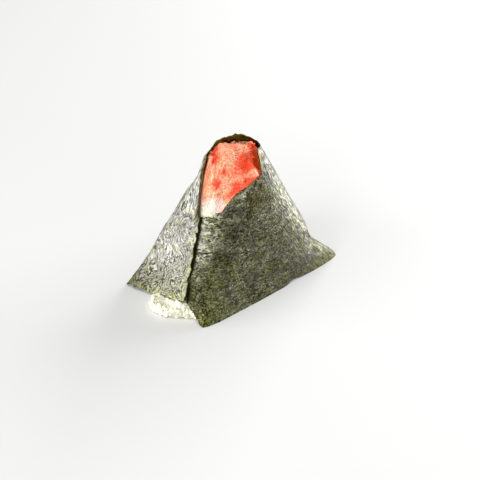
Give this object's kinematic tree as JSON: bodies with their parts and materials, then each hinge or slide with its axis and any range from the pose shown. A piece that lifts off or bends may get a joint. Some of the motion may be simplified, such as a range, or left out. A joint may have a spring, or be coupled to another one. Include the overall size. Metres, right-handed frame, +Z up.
{
  "type": "onigiri rice ball",
  "caption": "Triangular rice ball wrapped in one sheet of nori with a lapped flap, open at the top over a filling of salted roe.",
  "frame": {"origin": "middle of the flat base of the rice, on the surface it stands on", "axes": "+X runs along the wide front face, from the lapped flap to the corner that stands out furthest; +Y points from the front face to the back; +Z up"},
  "size_m": [0.1044, 0.0559, 0.0861],
  "materials": {
    "rice": "moist white cooked rice, grains pressed together",
    "nori": "dry dark green seaweed sheet, finely wrinkled, slightly glossy",
    "roe": "moist pink orange salted roe, finely granular"
  },
  "bodies": {
    "root": {"rice": "rice", "nori": "nori", "roe": "roe"}
  },
  "joints": []
}
